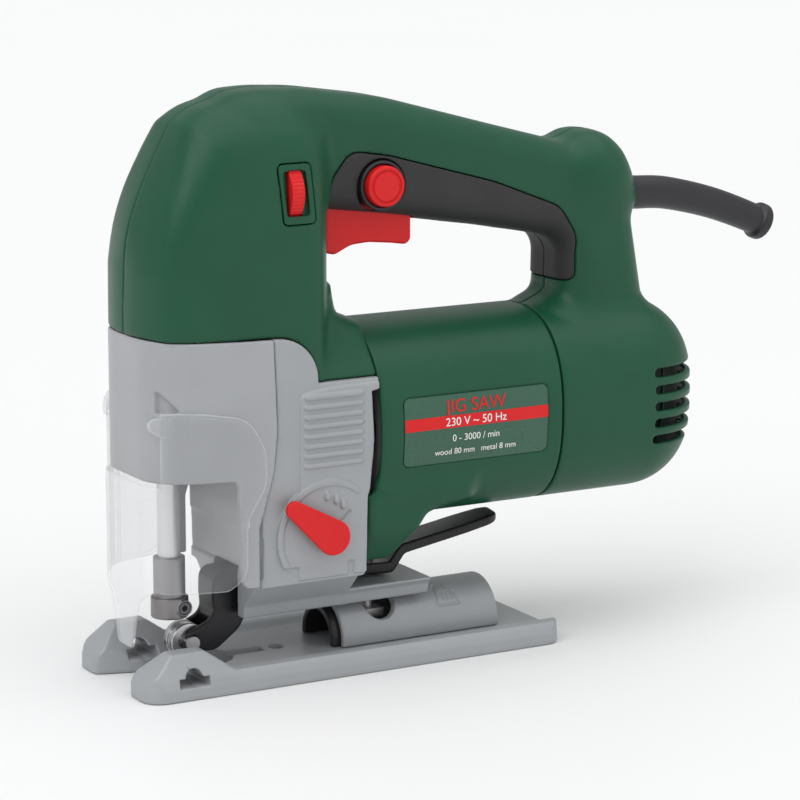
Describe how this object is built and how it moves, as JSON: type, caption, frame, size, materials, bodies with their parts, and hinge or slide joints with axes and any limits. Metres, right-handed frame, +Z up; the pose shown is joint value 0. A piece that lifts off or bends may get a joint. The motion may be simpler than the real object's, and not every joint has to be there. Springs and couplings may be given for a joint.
{
  "type": "jigsaw power tool",
  "caption": "Corded D-handle jigsaw: green shells over a grey gear case, tilting sole, plunger with blade clamp, orbit lever, clear front guard.",
  "frame": {"origin": "middle of the sole's bottom face", "axes": "+X to the rear of the saw, -Y its left side with the controls, +Z up"},
  "size_m": [0.2752, 0.0667, 0.2047],
  "materials": {
    "green_plastic": "satin, fine moulded grain",
    "grey_alloy": "die casting painted satin light grey",
    "grey_cover": "satin moulded plastic",
    "red_plastic": "semi-gloss",
    "soft_grip": "matt soft-touch",
    "black_rubber": "satin",
    "black_plastic": "satin",
    "clear_plastic": "clear moulded polycarbonate",
    "label_film": "printed film, smooth",
    "ground_steel": "ground bright",
    "grey_steel": "sintered, satin",
    "black_steel": "blackened steel",
    "laminated_iron": "varnished laminations",
    "copper": "turned copper and sintered bronze",
    "carbon": "pressed carbon"
  },
  "bodies": {
    "housing": {"left_handle_shell": "green_plastic", "right_handle_shell": "green_plastic", "motor_housing": "green_plastic", "gear_housing": "grey_alloy", "front_cover": "grey_cover", "left_grip_inlay": "soft_grip", "right_grip_inlay": "soft_grip", "nameplate": "label_film", "cord_guard": "black_rubber", "stator": "laminated_iron", "front_bearing": "ground_steel", "rear_bearing": "ground_steel", "left_brush": "carbon", "right_brush": "carbon", "left_brush_holder": "copper", "right_brush_holder": "copper", "switch_body": "black_plastic", "speed_module": "black_plastic", "dial_frame": "black_plastic", "button_bezel": "black_plastic", "fan_shroud": "black_plastic", "gear_plate": "laminated_iron", "gear_shaft": "grey_steel", "lower_guide": "copper", "upper_guide": "copper", "pendulum_pin": "grey_steel", "clamp_screw": "grey_steel", "blade_guard": "clear_plastic", "housing_screw_1": "ground_steel", "housing_screw_2": "ground_steel", "housing_screw_3": "ground_steel", "housing_screw_4": "ground_steel", "housing_screw_5": "ground_steel", "housing_screw_6": "ground_steel", "housing_screw_7": "ground_steel", "housing_screw_8": "ground_steel"},
    "armature": {"armature_shaft": "grey_steel", "armature_core": "laminated_iron", "commutator": "copper", "fan": "black_plastic"},
    "gear": {"drive_gear": "grey_steel", "crank_pin": "ground_steel"},
    "plunger": {"plunger_rod": "ground_steel", "plunger_yoke": "grey_steel", "blade_clamp": "grey_steel", "blade_clamp_screw": "black_steel"},
    "pendulum": {"pendulum_arm": "black_steel", "roller_pin": "grey_steel"},
    "roller": {"guide_roller": "ground_steel"},
    "orbit_selector": {"orbit_lever": "red_plastic", "orbit_cam": "grey_steel"},
    "trigger": {"trigger": "red_plastic"},
    "lock_button": {"lock_button": "red_plastic"},
    "speed_dial": {"speed_dial": "red_plastic"},
    "sole": {"sole_plate": "grey_alloy", "bevel_saddle": "grey_alloy", "dust_duct": "black_plastic"},
    "base_lever": {"base_lever": "black_steel"}
  },
  "joints": [
    {"name": "motor_spin", "type": "hinge", "parent": "housing", "child": "armature", "pos_m": [0, 0, 0.085], "axis": [1, 0, 0], "continuous": true},
    {"name": "gear_spin", "type": "hinge", "parent": "housing", "child": "gear", "pos_m": [-0.026, 0, 0.114], "axis": [1, 0, 0], "continuous": true},
    {"name": "plunger_stroke", "type": "slide", "parent": "housing", "child": "plunger", "axis": [0, 0, 1], "range_m": [0, 0.019]},
    {"name": "pendulum_swing", "type": "hinge", "parent": "housing", "child": "pendulum", "pos_m": [-0.03, 0, 0.041], "axis": [0, 1, 0], "range_deg": [-2, 3]},
    {"name": "roller_spin", "type": "hinge", "parent": "pendulum", "child": "roller", "pos_m": [-0.0545, 0, 0.0126], "axis": [0, 1, 0], "continuous": true},
    {"name": "orbit_select", "type": "hinge", "parent": "housing", "child": "orbit_selector", "pos_m": [-0.0129, 0, 0.0512], "axis": [0, 1, 0], "range_deg": [0, 90]},
    {"name": "trigger_squeeze", "type": "slide", "parent": "housing", "child": "trigger", "axis": [0, 0, 1], "range_m": [0, 0.0055], "stiffness_N_per_m": 1200, "springref_m": -0.004},
    {"name": "lock_press", "type": "slide", "parent": "housing", "child": "lock_button", "axis": [0, 1, 0], "range_m": [0, 0.0028], "stiffness_N_per_m": 900, "springref_m": -0.003},
    {"name": "dial_turn", "type": "hinge", "parent": "housing", "child": "speed_dial", "pos_m": [-0.0234, -0.019, 0.1705], "axis": [1, 0, 0], "range_deg": [-135, 135]},
    {"name": "sole_tilt", "type": "hinge", "parent": "housing", "child": "sole", "pos_m": [0, 0, 0.0066], "axis": [1, 0, 0], "range_deg": [-45, 45]},
    {"name": "base_lever_swing", "type": "hinge", "parent": "housing", "child": "base_lever", "pos_m": [0.018, 0, 0.0305], "axis": [0, 0, 1], "range_deg": [-35, 20]}
  ],
  "couplings": [
    {"joint": "gear_spin", "follows": "motor_spin", "ratio": -0.20833}
  ]
}
